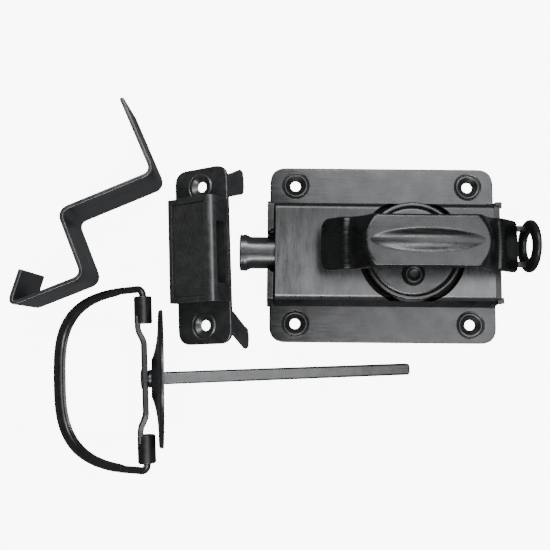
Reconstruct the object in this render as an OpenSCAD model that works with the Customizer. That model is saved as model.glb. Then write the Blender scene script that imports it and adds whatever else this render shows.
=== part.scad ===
// Ring-handle spring gate latch kit, laid out flat on a table.
// Millimetres. X and Y lie on the table and Z points up. The origin is the middle of the latch
// body's four-screw pattern, on the back face of its plate.

/* [Latch plate] */
// Length of the back plate
plate_l = 110; // [104:1:120]
// Height of the back plate
plate_w = 86; // [80:1:96]
// Thickness of the back plate
plate_t = 2; // [1.5:0.1:2.5]
// Corner radius of the back plate
plate_r = 8; // [4:1:12]
// Screw spacing along the plate
hole_dx = 85; // [80:1:88]
// Screw spacing across the plate
hole_dy = 68; // [66:1:70]
// Diameter of every screw hole
hole_d = 5; // [4:0.5:6]

/* [Latch housing] */
// Height of the housing's top face above the table
case_h = 15; // [15:0.5:18]
// Half of the housing's width where it meets the plate
case_foot = 25.5; // [25:0.5:27]
// Half of the housing's width at its top face
case_top = 22.6; // [21:0.2:23]
// Sheet thickness of the housing
case_t = 1.6; // [1.2:0.1:1.8]
// Left end of the housing
case_x0 = -52.5; // [-53:0.5:-52]
// Right end of the housing
case_x1 = 51.2; // [50:0.2:51.4]

/* [Bolt and handle] */
// Width of the spring bolt
bolt_w = 15.2; // [12:0.2:16]
// How far the bolt stands out of the forend
bolt_out = 13.2; // [10:0.2:14]
// Travel of the bolt
bolt_throw = 13.4; // [10:0.2:13.4]
// Distance of the turning hub from the middle of the plate
hub_x = 12; // [10:0.5:14]
// Square hole of the hub across its flats
socket_w = 5.7; // [5.6:0.1:6.5]
// Rim radius of the round hub cap
cap_r = 23; // [22:0.2:23.4]
// Height of the arch handle's top
arch_h = 43; // [40:0.5:48]
// Height of the arch handle's two feet
foot_h = 26; // [25:0.5:28]
// Overall length of the arch handle
arch_l = 90; // [84:1:90]
// Width of the arch handle's feet
arch_w = 24; // [20:0.5:26]
// Outer radius of the cord eye
eye_r = 12; // [10:0.5:12]

/* [Keeper and striker] */
// Width of the flat stock of the keeper and the striker
stock_w = 30; // [26:1:34]
// Thickness of that stock
stock_t = 2; // [1.5:0.1:2.5]
// Length of the keeper strap
keeper_l = 85; // [84:1:92]
// Angle at which the keeper leans on its two ears
keeper_lean = 28; // [24:1:32]
// Height of the keeper's box above its strap
box_h = 15.4; // [14:0.2:17]

/* [Ring handle] */
// Across-flats size of the spindle
spindle_w = 5.4; // [5:0.1:5.4]
// Length of the spindle beyond the rose
spindle_l = 117; // [100:1:120]
// Radius of the rose
rose_r = 30; // [28:0.5:32]
// Overall width of the D ring
ring_w = 82; // [76:1:84]
// Reach of the D ring from its pivots
ring_l = 56.5; // [50:0.5:60]
// Diameter of the ring's wire
wire_d = 3.2; // [3:0.1:3.8]

/* [Hidden] */
$fn = 48;
eps = 0.02;
run = 0.06;
arch_t = 2.2;
recess_r = cap_r + 2.5;
recess_z = 12;
bolt_z0 = 3.3;
bolt_z1 = 11.7;
fore_x0 = -56.2;
nose_x = fore_x0 - bolt_out;
tail_x = -28;
carriage_t = 2;
cam_z = 6.4;
cam_t = 3.8;
cam_arm = 17.2;
cam_back = 22.5;
cam_nose = 2.6;
lug_x = hub_x - cam_arm * sin(cam_back) + cam_nose + 0.4;
carriage_rivet_x = [-39, -32];
rivet_y = 11;
post_r = 5.2;
arch_at = [hub_x + 1.2, 1.2];
arch_knee = 10;
eye_x = arch_at[0] + arch_l / 2 + 4.6;
eye_t = 3.4;
eye_hole = 5.8;
rib_rise = 1.6;
rib_half_l = 25;
rib_half_w = 4.8;
spring_r = 2.4;
spring_z = 7;
spring_wire = 1;
spring_turns = 7;
spring_x0 = 27.4;
spring_x1 = 49.6;
ear_l = (stock_w - stock_t) * tan(keeper_lean);
keeper_turn = 2.6;
keeper_at = [-86.4, -1.9];
keeper_hole = 33.5;
keeper_r = 7;
box_l = 48.6;
box_w = 25;
box_x = stock_w / 2 - box_w;
box_y = 1.2;
slot_l = 29;
slot_y = -0.4;
set_turn = 2;
set_at = [-102, -59.2, rose_r * 0.983];
set_lean = asin(set_at[2] / norm([spindle_l, spindle_w / 2])) - atan(spindle_w / 2 / spindle_l);
rose_tilt = 3;
rose_mid = -3.6;
rose_lip = 0.8;
bracket_yaw = 1.2;
neck_r = spindle_w / 2 * sqrt(2) + 0.08;
rose_bore = neck_r + 0.14;
pivot_x = -7;
ring_side = ring_w / 2 - wire_d / 2;
ring_bend = 3;
grip_x0 = 14;
grip_w = 6;
grip_t = 4.4;
pivot_h = set_at[2] - sin(set_lean) * pivot_x;
ring_drop = asin((pivot_h - 0.05) / norm([ring_l, grip_t / 2])) - atan(grip_t / 2 / ring_l);
barrel_r = 3.9;
barrel_y0 = 24;
barrel_y1 = 36;
cap_of_pivot = 2.1;
bar_x = -8.2;
bar_w = 9;
bar_t = 2.4;

// ---- helpers ----

// Points of a quadratic bend from a to c round the corner b
function bend(a, b, c, n = 5) = [
    for (i = [0 : n])
        let (t = i / n)
        a * (1 - t) * (1 - t) + b * 2 * t * (1 - t) + c * t * t
];

// Cross-section of a channel that stands on the plate, open below
function channel(foot, top, z0, z1, r) = concat(
    [[-foot, z0]],
    bend([-top - r * (foot - top) / (z1 - z0), z1 - r], [-top, z1], [-top + r, z1]),
    bend([top - r, z1], [top, z1], [top + r * (foot - top) / (z1 - z0), z1 - r]),
    [[foot, z0]]
);

// A run of straight legs with each inner corner rounded over the distance r
function rounded_path(p, r) = concat(
    [p[0]],
    [for (i = [1 : len(p) - 2])
        let (back = p[i - 1] - p[i], on = p[i + 1] - p[i])
        each bend(p[i] + r * back / norm(back), p[i], p[i] + r * on / norm(on))],
    [p[len(p) - 1]]
);

// Unit normal to the path q at its point i
function normal_at(q, i) =
    let (d = q[min(i + 1, len(q) - 1)] - q[max(i - 1, 0)])
    [-d[1], d[0]] / norm(d);

// Outline of a strip of thickness t that follows the path q
function ribbon(q, t) = concat(
    [for (i = [0 : len(q) - 1]) q[i] + normal_at(q, i) * t / 2],
    [for (i = [len(q) - 1 : -1 : 0]) q[i] - normal_at(q, i) * t / 2]
);

// A coil round the X axis from x0 to x1, with its wire drawn as a sided tube
module coil(x0, x1, r, wire, turns, steps = 20, sides = 8) {
    n = turns * steps;
    points = [
        for (i = [0 : n], j = [0 : sides - 1])
            let (a = 360 * i / steps, b = 360 * j / sides, q = r + wire / 2 * cos(b))
            [x0 + (x1 - x0) * i / n + wire / 2 * sin(b), q * cos(a), q * sin(a)]
    ];
    walls = [
        for (i = [0 : n - 1], j = [0 : sides - 1])
            let (k = (j + 1) % sides)
            [i * sides + j, i * sides + k, (i + 1) * sides + k, (i + 1) * sides + j]
    ];
    polyhedron(points, concat(
        walls,
        [[for (j = [sides - 1 : -1 : 0]) j], [for (j = [0 : sides - 1]) n * sides + j]]));
}

// Extrudes a profile drawn in Y and Z along X, from x0 to x1
module along_x(x0, x1) {
    translate([x0, 0, 0])
        rotate([90, 0, 90])
            linear_extrude(x1 - x0)
                children();
}

module rounded_rect(l, w, r) {
    square([l - 2 * r, w], center = true);
    square([l, w - 2 * r], center = true);
    for (sx = [-1, 1], sy = [-1, 1])
        translate([sx * (l / 2 - r), sy * (w / 2 - r)])
            circle(r);
}

// Everything that a dimpled screw hole takes out of sheet t thick, whose back face is z = 0
module screw_hole(t) {
    translate([0, 0, -1])
        cylinder(h = t + 2, d = hole_d);
    translate([0, 0, t - 1.5])
        cylinder(h = 1.5 + eps, r1 = hole_d / 2, r2 = hole_d / 2 + 2);
    rotate_extrude()
        polygon([[5.7, t + eps], [6, t - 0.4], [6.3, t + eps]]);
}

// A domed rivet whose head rests on z = 0, with a shank that reaches down
module rivet(head_r, head_h, shank_r, shank_l) {
    translate([0, 0, -shank_l])
        cylinder(h = shank_l + eps, r = shank_r);
    rotate_extrude()
        polygon(concat([[0, 0], [head_r, 0]],
            [for (a = [0 : 15 : 90]) [head_r * cos(a), 0.3 + (head_h - 0.3) * sin(a)]]));
}

// ---- latch body ----

module back_plate()
    color([0.42, 0.43, 0.45])
    difference() {
        linear_extrude(plate_t)
            rounded_rect(plate_l, plate_w, plate_r);
        for (sx = [-1, 1], sy = [-1, 1])
            translate([sx * hole_dx / 2, sy * hole_dy / 2, 0])
                screw_hole(plate_t);
        for (p = case_feet())
            translate([p[0], p[1], -1])
                cylinder(h = plate_t + 2, r = 1.5);
        translate([hub_x, 0, -1])
            cylinder(h = plate_t + 2, r = 7.5);
    }

// Where the housing, the forend and the rear wall are riveted to the plate
function case_feet() = [
    for (x = [-40, 40], y = [-19.5, 19.5]) [x, y]
];

module housing()
    color([0.45, 0.46, 0.48]) {
        difference() {
            along_x(case_x0, case_x1)
                polygon(channel(case_foot, case_top, plate_t, case_h, 2.6));
            along_x(case_x0 - 1, case_x1 + 1)
                polygon(channel(case_foot - case_t, case_top - case_t, plate_t - 1, case_h - case_t, 1.6));
            translate([hub_x, 0, recess_z])
                cylinder(h = 20, r = recess_r);
        }
        intersection() {
            along_x(case_x0, case_x1)
                polygon(channel(case_foot - 0.3, case_top - 0.3, plate_t, case_h, 2.6));
            translate([hub_x, 0, recess_z - 1.4])
                difference() {
                    cylinder(h = 1.4, r = recess_r + 1);
                    translate([0, 0, -1])
                        cylinder(h = 4, r = 14.5);
                }
        }
        for (p = case_feet())
            difference() {
                translate([p[0] - 4, p[1] > 0 ? 15 : -24, plate_t])
                    cube([8, 9, 1.5]);
                translate([p[0], p[1], 0])
                    cylinder(h = 8, r = 1.5);
            }
    }

module forend()
    color([0.34, 0.35, 0.37])
    difference() {
        along_x(fore_x0, case_x0 - 0.8)
            polygon(channel(case_foot + 0.5, case_top + 0.8, plate_t, case_h + 0.1, 1.6));
        translate([fore_x0 - 1, -9.4, bolt_z0 - 0.2])
            cube([10, 18.8, 20]);
        for (s = [-1, 1])
            translate([case_x0 - 1.4, s * 9.4, bolt_z0 + 4])
                cylinder(h = 20, r = 1);
    }

module rear_wall()
    color([0.3, 0.31, 0.33])
    difference() {
        union() {
            along_x(case_x1, case_x1 + 2.6)
                polygon(channel(case_foot + 0.2, case_top + 0.3, plate_t, case_h - 0.2, 2.4));
            for (s = [-1, 1])
                translate([case_x1 + 1, s > 0 ? case_top - 1.2 : -case_top - 1.6, 8])
                    cube([2.9, 2.8, 6]);
        }
        translate([case_x1 - 1, 0, spring_z])
            rotate([0, 90, 0])
                cylinder(h = 6, r = 1.5);
    }

module case_rivets()
    color([0.3, 0.3, 0.32])
    for (p = case_feet())
        translate([p[0], p[1], plate_t + 1.5])
            rivet(2.8, 1.2, 1.45, plate_t + 1.5);

// Bush in the plate that the hub turns in
module hub_bush()
    color([0.6, 0.5, 0.3])
    translate([hub_x, 0, 0])
        difference() {
            union() {
                cylinder(h = plate_t + 1, r = 7.45);
                translate([0, 0, plate_t])
                    cylinder(h = 1, r = 9.5);
            }
            translate([0, 0, -1])
                cylinder(h = 6, r = 6 + run);
        }

// Rod through the rear wall that keeps the spring straight
module spring_rod()
    color([0.5, 0.5, 0.52])
    translate([30, 0, spring_z])
        rotate([0, 90, 0]) {
            cylinder(h = case_x1 + 2.6 - 30, r = 1.45);
            translate([0, 0, case_x1 - 1.6 - 30])
                cylinder(h = 1.6, r = 3.6);
        }

// ---- bolt ----

// Half-round section of the bolt, grown by g on both sides
function bolt_section(g) =
    let (w = bolt_w / 2 + g, shoulder = bolt_z1 - 0.7)
    concat([[-w, bolt_z0], [-w, 7]],
        bend([-w, 7], [-w + 1, shoulder - 0.6], [-4.4, shoulder], 3),
        bend([-4.4, shoulder], [-3, bolt_z1], [0, bolt_z1], 3),
        bend([0, bolt_z1], [3, bolt_z1], [4.4, shoulder], 3),
        bend([4.4, shoulder], [w - 1, shoulder - 0.6], [w, 7], 3),
        [[w, bolt_z0]]);

module bolt()
    color([0.4, 0.41, 0.43])
    difference() {
        union() {
            along_x(nose_x + 0.5, tail_x)
                polygon(bolt_section(0));
            along_x(nose_x, nose_x + 2)
                polygon(bolt_section(1.2));
            hull() {
                along_x(nose_x + 1.9, nose_x + 2)
                    polygon(bolt_section(1.2));
                along_x(nose_x + 4.6, nose_x + 4.7)
                    polygon(bolt_section(0));
            }
        }
        translate([-44, -20, bolt_z0 - 1])
            cube([40, 40, carriage_t + 1 + eps]);
        for (x = carriage_rivet_x)
            translate([x, 0, 0])
                cylinder(h = bolt_z1 - 1, r = 1.5);
    }

// Flat bar that joins the bolt to the spring and goes round the hub
module bolt_carriage()
    color([0.5, 0.51, 0.53])
    difference() {
        union() {
            translate([-43.6, -7, bolt_z0])
                cube([17.6, 14, carriage_t - eps]);
            translate([-26.1, -13.8, bolt_z0])
                cube([53.5, 27.6, carriage_t - eps]);
            translate([lug_x, -19.6, bolt_z0])
                cube([12, 9, carriage_t - eps]);
            translate([lug_x, -19.6, bolt_z0])
                cube([2.2, 5.2, 6.6]);
            translate([25.4, -5, bolt_z0])
                cube([2, 10, 7]);
        }
        for (x = [hub_x - bolt_throw, hub_x])
            translate([x, 0, 0])
                cylinder(h = 20, r = 10.2);
        translate([hub_x - bolt_throw, -10.2, 0])
            cube([bolt_throw, 20.4, 20]);
        for (x = carriage_rivet_x)
            translate([x, 0, 0])
                cylinder(h = 12, r = 1.5);
        translate([20, 0, spring_z])
            rotate([0, 90, 0])
                cylinder(h = 10, r = 1.7);
    }

module carriage_rivets()
    color([0.3, 0.3, 0.32])
    for (x = carriage_rivet_x)
        translate([x, 0, bolt_z0 - 0.6]) {
            cylinder(h = bolt_z1 - bolt_z0 - 0.8, r = 1.45);
            cylinder(h = 0.58, r = 2.6);
        }

module bolt_spring()
    color([0.62, 0.63, 0.65])
    translate([0, 0, spring_z])
        coil(spring_x0 + 0.6, spring_x1 - 0.6, spring_r, spring_wire, spring_turns);

// ---- turning set ----

module hub()
    color([0.5, 0.51, 0.53])
    translate([hub_x, 0, 0])
        difference() {
            union() {
                cylinder(h = 16.5, r = 6);
                translate([0, 0, plate_t + 1.1])
                    cylinder(h = 2, r = 8.5);
                translate([0, 0, 12.6])
                    cylinder(h = 2.4, r = 17.4);
            }
            translate([-socket_w / 2, -socket_w / 2, -1])
                cube([socket_w, socket_w, 24]);
            for (s = [-1, 1])
                translate([0, s * rivet_y, 10])
                    cylinder(h = 10, r = 1.6);
        }

// Arm that pushes the carriage back when the hub turns
module hub_cam()
    color([0.45, 0.46, 0.48])
    translate([hub_x, 0, cam_z])
        rotate([0, 0, -90 - cam_back])
            difference() {
                union() {
                    cylinder(h = cam_t, r = 9.6);
                    translate([0, -1.6, 0])
                        cube([cam_arm, 3.2, cam_t]);
                    translate([cam_arm, 0, 0])
                        cylinder(h = cam_t, r = cam_nose);
                }
                translate([0, 0, -1])
                    cylinder(h = cam_t + 2, r = 6);
            }

// Round cap with a rolled rim and a flared skirt
module hub_cap()
    color([0.44, 0.45, 0.47])
    translate([hub_x, 0, 0])
        difference() {
            rotate_extrude($fn = 96)
                polygon(concat(
                    [[6.05, 15.1], [cap_r - 2.3, 15.1], [cap_r - 1.6, 14.2], [cap_r - 1, recess_z + 0.4]],
                    [[cap_r + 0.6, recess_z + 0.4]],
                    bend([cap_r + 0.1, 15.6], [cap_r - 0.2, 17.4], [cap_r - 1.2, 17.4]),
                    bend([cap_r - 1.2, 17.4], [cap_r - 2, 17.4], [cap_r - 2.2, 16.6]),
                    [[6.05, 16.6]]));
            for (s = [-1, 1])
                translate([0, s * rivet_y, 10])
                    cylinder(h = 10, r = 1.6);
        }

module hub_rivets()
    color([0.35, 0.36, 0.38])
    for (s = [-1, 1])
        translate([hub_x, s * rivet_y, 16.6]) {
            rotate_extrude()
                polygon([[0, 0], [5.3, 0], [5.3, 0.5], [4, 1.9], [2.4, 1.9], [1.6, 1.3], [0, 1.1]]);
            translate([0, 0, -4.6])
                cylinder(h = 4.7, r = 1.55);
            translate([0, 0, -5])
                cylinder(h = 0.95, r = 2.6);
        }

// Clip under the cam that keeps it against the hub's flange
module hub_clip()
    color([0.3, 0.3, 0.32])
    translate([hub_x, 0, cam_z + cam_t + 0.1])
        difference() {
            cylinder(h = 1, r = 8);
            translate([0, 0, -1])
                cylinder(h = 3, r = 6.05);
        }

// Round post that carries the arch above the cap
module handle_post()
    color([0.34, 0.35, 0.37])
    translate([hub_x, 0, 16.6])
        difference() {
            union() {
                cylinder(h = arch_h - arch_t - 16.62, r = post_r);
                translate([0, 0, arch_h - arch_t - 18.6])
                    cylinder(h = 1.98, r = post_r + 3);
            }
            translate([0, 0, -1])
                cylinder(h = 12, r = neck_r + 0.2);
        }

// Share of a smooth step that is done at distance d, from its start over the length l
function step_at(d, start, l) =
    let (t = max(0, min(1, (abs(d) - start) / l)))
    t * t * (3 - 2 * t);

// Height of the arch's outer face at distance d from its middle: it drops in two steps
function arch_z(d) =
    arch_h - arch_knee * step_at(d, 25, 8.5) - (arch_h - foot_h - arch_knee) * step_at(d, 34, 12);

// Thickness of the arch straight down, so that its slopes keep their sheet thickness
function arch_drop(d) =
    let (slope = arch_z(abs(d) - 0.5) - arch_z(abs(d) + 0.5))
    arch_t * sqrt(1 + slope * slope);

// Half-width of the arch at distance d from its middle
function arch_half(d) = arch_w / 2 - 0.5 * (1 - pow(min(1, abs(d) / 36), 2));

// Raised lens along the top of the arch, turned about the arch's length
module arch_rib() {
    belly = (pow(rib_half_w, 2) + pow(rib_rise, 2)) / (2 * rib_rise);
    sweep = (pow(rib_half_l, 2) + pow(rib_rise, 2)) / (2 * rib_rise);
    edge = asin(rib_half_l / sweep);
    intersection() {
        translate([0, 0, arch_h + rib_rise - belly])
            rotate([0, 90, 0])
                rotate_extrude()
                    polygon(concat(
                        [[0, rib_half_l], [0, -rib_half_l]],
                        [for (a = [-edge : edge / 8 : edge])
                            [belly - sweep * (1 - cos(a)), sweep * sin(a)]]));
        translate([-50, -20, arch_h - arch_t / 2])
            cube([100, 40, 20]);
    }
}

module arch_handle()
    color([0.36, 0.37, 0.39])
    translate([arch_at[0], arch_at[1], 0]) {
        intersection() {
            rotate([90, 0, 0])
                linear_extrude(arch_w + 4, center = true)
                    polygon(concat(
                        [for (d = [-arch_l / 2 : 1.5 : arch_l / 2]) [d, arch_z(d)]],
                        [for (d = [arch_l / 2 : -1.5 : -arch_l / 2]) [d, arch_z(d) - arch_drop(d)]]));
            linear_extrude(80)
                polygon(concat(
                    [[-arch_l / 2 + 1.8, -arch_w / 2 + 1.4]],
                    [for (d = [-39 : 3 : 39]) [d, -arch_half(d)]],
                    [[arch_l / 2, -arch_w / 2 + 1.4], [arch_l / 2, arch_w / 2 - 1.4]],
                    [for (d = [39 : -3 : -39]) [d, arch_half(d)]],
                    [[-arch_l / 2 + 1.8, arch_w / 2 - 1.4], [-arch_l / 2, 6], [-arch_l / 2, -6]]));
        }
        arch_rib();
    }

module cord_eye()
    color([0.3, 0.31, 0.33])
    translate([eye_x, arch_at[1], foot_h + 0.4])
        difference() {
            union() {
                rotate([0, 90, 0])
                    rotate_extrude($fn = 96)
                        polygon(concat(
                            bend([eye_hole, 0], [eye_hole, eye_t / 2], [eye_hole + 2, eye_t / 2]),
                            bend([eye_r - 2, eye_t / 2], [eye_r, eye_t / 2], [eye_r, 0]),
                            bend([eye_r, 0], [eye_r, -eye_t / 2], [eye_r - 2, -eye_t / 2]),
                            bend([eye_hole + 2, -eye_t / 2], [eye_hole, -eye_t / 2], [eye_hole, 0])));
                for (s = [-1, 1])
                    translate([-4.6 + eps, s * 8.2 - 1.4, -2.2])
                        cube([4.6, 2.8, 1.8]);
            }
            rotate([0, 90, 0])
                cylinder(h = 20, r = eye_hole, center = true);
        }

// ---- keeper ----

// Places its children on the leaning keeper, whose strap has its back face on z = 0
module on_keeper() {
    translate([keeper_at[0], keeper_at[1], stock_w / 2 * sin(keeper_lean)])
        rotate([0, 0, keeper_turn])
            rotate([0, -keeper_lean, 0])
                children();
}

// Outline of an ear: x runs down from the fold and y along the strap, with its end's middle at y
module keeper_ear(y, half) {
    translate([-1.5, 26.5])
        square([1.6, 11.5]);
    hull() {
        translate([0, 26.5])
            square([0.1, 11.5]);
        for (s = [-1, 1])
            translate([ear_l - 3, y + s * half])
                circle(3);
    }
}

module keeper_strap()
    color([0.38, 0.39, 0.41])
    on_keeper() {
        difference() {
            linear_extrude(stock_t)
                rounded_rect(stock_w, keeper_l, keeper_r);
            for (s = [-1, 1])
                translate([0, s * keeper_hole, 0])
                    screw_hole(stock_t);
            translate([-7.5, box_y - 16, -1])
                cube([15, 32, stock_t + 2]);
            for (p = keeper_feet())
                translate([p[0], p[1], -1])
                    cylinder(h = stock_t + 2, r = 1.5);
        }
        for (s = [0, 1])
            mirror([0, s, 0])
                translate([stock_w / 2, 0, 0])
                    rotate([0, 90, 0])
                        translate([0, 0, -stock_t])
                            linear_extrude(stock_t)
                                keeper_ear(36.4 + 3.6 * s, 3.4 - s);
    }

// Where the keeper's box is riveted to its strap
function keeper_feet() = [
    for (x = [-5, 8], y = [-20, 20]) [x, box_y + y]
];

module keeper_box()
    color([0.36, 0.37, 0.39])
    on_keeper()
        difference() {
            translate([box_x, box_y + box_l / 2, 0])
                rotate([90, 0, 0])
                    linear_extrude(box_l)
                        polygon(concat(
                            [[0, stock_t]],
                            bend([0, box_h - 1], [0, box_h], [1, box_h]),
                            bend([box_w - 4.5, box_h], [box_w, box_h], [box_w, box_h - 4.5]),
                            [[box_w, stock_t]]));
            translate([box_x + 1.8, box_y - box_l / 2 + 7.5, stock_t - 1])
                cube([box_w - 3.6, box_l - 15, box_h - stock_t - 1.6]);
            translate([box_x + 1.8, box_y - box_l / 2 + 1.8, stock_t + 1.6])
                cube([box_w - 3.6, box_l - 3.6, box_h - stock_t - 4.4]);
            translate([box_x + 2.4, box_y - box_l / 2 + 2.4, box_h - 1.2])
                cube([box_w - 7, box_l - 4.8, 2]);
            translate([stock_w / 2 - 3, slot_y - slot_l / 2, stock_t + 0.9])
                cube([6, slot_l, 9.2]);
            for (p = keeper_feet())
                translate([p[0], p[1], 0])
                    cylinder(h = stock_t + 3, r = 1.5);
        }

module keeper_liner()
    color([0.24, 0.25, 0.27])
    on_keeper()
        translate([box_x + 2.5, box_y - box_l / 2 + 2.5, box_h - 1.2])
            cube([box_w - 7.2, box_l - 5, 0.5]);

module keeper_rivets()
    color([0.3, 0.3, 0.32])
    on_keeper()
        for (p = keeper_feet())
            translate([p[0], p[1], stock_t + 1.6])
                rivet(2.4, 1.1, 1.45, stock_t + 1.6);

// ---- striker ----

// Corners of the striker's run on the table, from its screw leg to its hook
function striker_path() = [
    [-123.6, 67.9], [-108, 33.1], [-150, 14.9], [-137.8, -14.4], [-170.4, -27.8], [-165.8, -11.6]
];

// Places its children on the face of the screw leg: x along the leg, z square to it
module on_screw_leg() {
    leg = striker_path()[0] - striker_path()[1];
    translate([striker_path()[1][0], striker_path()[1][1], stock_w / 2])
        rotate([0, 0, atan2(leg[1], leg[0])])
            rotate([90, 0, 0])
                children();
}

module striker_strap()
    color([0.4, 0.41, 0.43])
    difference() {
        linear_extrude(stock_w)
            polygon(ribbon(rounded_path(striker_path(), 5), stock_t));
        on_screw_leg()
            for (x = [11, 29])
                translate([x, 0, -stock_t / 2])
                    screw_hole(stock_t);
    }

// ---- ring handle ----

// Places its children on the ring handle: x = 0 is the rose's back, x runs along the spindle
module on_set() {
    translate(set_at)
        rotate([0, 0, set_turn])
            rotate([0, set_lean, 0])
                children();
}

// Places its children on the rose, which hangs a little askew on the neck
module on_rose() {
    on_set()
        translate([rose_mid, 0, 0])
            rotate([0, -rose_tilt, 0])
                translate([-rose_mid, 0, 0])
                    children();
}

// Places its children on the ring's bracket, which sits a little askew on the spindle's end
module on_bracket() {
    on_set()
        translate([pivot_x, 0, 0])
            rotate([0, 0, bracket_yaw])
                translate([-pivot_x, 0, 0])
                    children();
}

// Places its children on the D ring: x runs from the pivots to the grip, y along the pivots
module on_ring() {
    on_bracket()
        translate([pivot_x, 0, 0])
            rotate([0, 180 - ring_drop - set_lean, 0])
                children();
}

module rose()
    color([0.4, 0.41, 0.43])
    on_rose()
        rotate([0, 90, 0])
            rotate_extrude($fn = 96)
                polygon(concat(
                    [[rose_bore, -4.2], [7.5, -4.2]],
                    bend([7.5, -4.2], [13, -1.6], [rose_r, -1.2], 8),
                    [[rose_r, rose_lip], [rose_r - 1.2, rose_lip]],
                    bend([rose_r - 1.2, 0], [13, -0.4], [7.5, -3], 8),
                    [[rose_bore, -3]]));

module rose_washer()
    color([0.3, 0.3, 0.32])
    on_rose()
        translate([-2.9, 0, 0])
            rotate([0, 90, 0])
                difference() {
                    cylinder(h = 1, r = 6);
                    translate([0, 0, -1])
                        cylinder(h = 3, r = rose_bore + 0.08);
                }

// Square bar with a turned neck in the rose and a tenon in the bracket
module spindle()
    color([0.45, 0.46, 0.48])
    on_set() {
        translate([-1.8, -spindle_w / 2, -spindle_w / 2])
            cube([spindle_l + 1.8, spindle_w, spindle_w]);
        translate([bar_x + bar_t + 0.2, 0, 0])
            rotate([0, 90, 0])
                cylinder(h = 4.8, r = neck_r);
        translate([bar_x + 0.2, 0, 0])
            rotate([0, 90, 0])
                cylinder(h = 4, r = 2.95);
    }

// Bar with a joggle to each side and a barrel at each end for the ring's pivots
module ring_bracket()
    color([0.42, 0.43, 0.45])
    on_bracket()
        difference() {
            union() {
                translate([bar_x, -15, -bar_w / 2])
                    cube([bar_t, 30, bar_w]);
                for (s = [-1, 1]) {
                    hull() {
                        translate([bar_x, s * 14.5 - 0.5, -bar_w / 2])
                            cube([bar_t, 1, bar_w]);
                        translate([pivot_x - barrel_r + 0.2, s * 22.5 - 0.5, -3])
                            cube([bar_t, 1, 6]);
                    }
                    translate([pivot_x - barrel_r + 0.2, s * 25 - 3, -3])
                        cube([bar_t, 6, 6]);
                    translate([pivot_x, s * (barrel_y0 + barrel_y1) / 2, 0])
                        rotate([90, 0, 0])
                            cylinder(h = barrel_y1 - barrel_y0, r = barrel_r, center = true);
                }
            }
            for (s = [-1, 1])
                translate([pivot_x, s * (barrel_y0 + barrel_y1) / 2, 0])
                    rotate([90, 0, 0])
                        cylinder(h = 18, r = wire_d / 2 + run, center = true);
            for (s = [-1, 1])
                translate([pivot_x, s * (barrel_y0 + 0.5), 0])
                    rotate([90, 0, 0])
                        cylinder(h = 3, r = cap_of_pivot + 0.15, center = true);
            translate([bar_x - 1, 0, 0])
                rotate([0, 90, 0])
                    cylinder(h = 6, r = 3.06);
        }

module spindle_head()
    color([0.4, 0.41, 0.43])
    on_bracket()
        translate([bar_x, 0, 0])
            rotate([0, -90, 0])
                rivet(4.2, 0.7, 2.9, 0.1);

// Rounded D outline of reach a and half-width b, from one flank of the grip to the other
function ring_curve(a, b) =
    let (start = acos(pow(grip_x0 / a, 1.5)))
    [for (i = [-16 : 16])
        let (t = start * i / 16)
        [a * pow(cos(t), 2 / 3), b * sign(t) * pow(abs(sin(t)), 2 / 3)]];

module drop_ring()
    color([0.44, 0.45, 0.47])
    on_ring()
        for (s = [0, 1])
            mirror([0, s, 0]) {
                translate([ring_bend, ring_side, 0])
                    rotate([0, 90, 0])
                        cylinder(h = grip_x0 + 2 - ring_bend, r = wire_d / 2);
                translate([ring_bend, ring_side - ring_bend, 0])
                    rotate([0, 0, 90])
                        rotate_extrude(angle = 90)
                            translate([ring_bend, 0])
                                circle(wire_d / 2);
                translate([0, barrel_y0 + 1.8, 0])
                    rotate([-90, 0, 0])
                        cylinder(h = ring_side - ring_bend - barrel_y0 - 1.8, r = wire_d / 2);
            }

module ring_grip()
    color([0.42, 0.43, 0.45])
    on_ring()
        difference() {
            linear_extrude(grip_t, center = true)
                polygon(concat(
                    ring_curve(ring_l, ring_w / 2 + 0.2),
                    [for (i = [32 : -1 : 0]) ring_curve(ring_l - grip_w, ring_side - wire_d / 2 - 0.2)[i]]));
            for (s = [-1, 1])
                translate([0, s * ring_side, 0])
                    rotate([0, 90, 0])
                        cylinder(h = grip_x0 + 2, r = wire_d / 2);
        }

module pivot_caps()
    color([0.35, 0.36, 0.38])
    on_ring()
        for (s = [-1, 1])
            translate([0, s * (barrel_y0 + 1), 0])
                rotate([90, 0, 0])
                    cylinder(h = 1.6, r = cap_of_pivot, center = true);

back_plate();
housing();
forend();
rear_wall();
case_rivets();
hub_bush();
spring_rod();
bolt();
bolt_carriage();
carriage_rivets();
bolt_spring();
hub();
hub_cam();
hub_cap();
hub_rivets();
hub_clip();
handle_post();
arch_handle();
cord_eye();
keeper_strap();
keeper_box();
keeper_liner();
keeper_rivets();
striker_strap();
rose();
rose_washer();
spindle();
ring_bracket();
spindle_head();
drop_ring();
ring_grip();
pivot_caps();
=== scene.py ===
"""Ring-handle spring gate latch kit laid out on a pale table, in satin near-black steel."""

import math

import bmesh
import bpy
from mathutils import Matrix, Vector, noise


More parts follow.
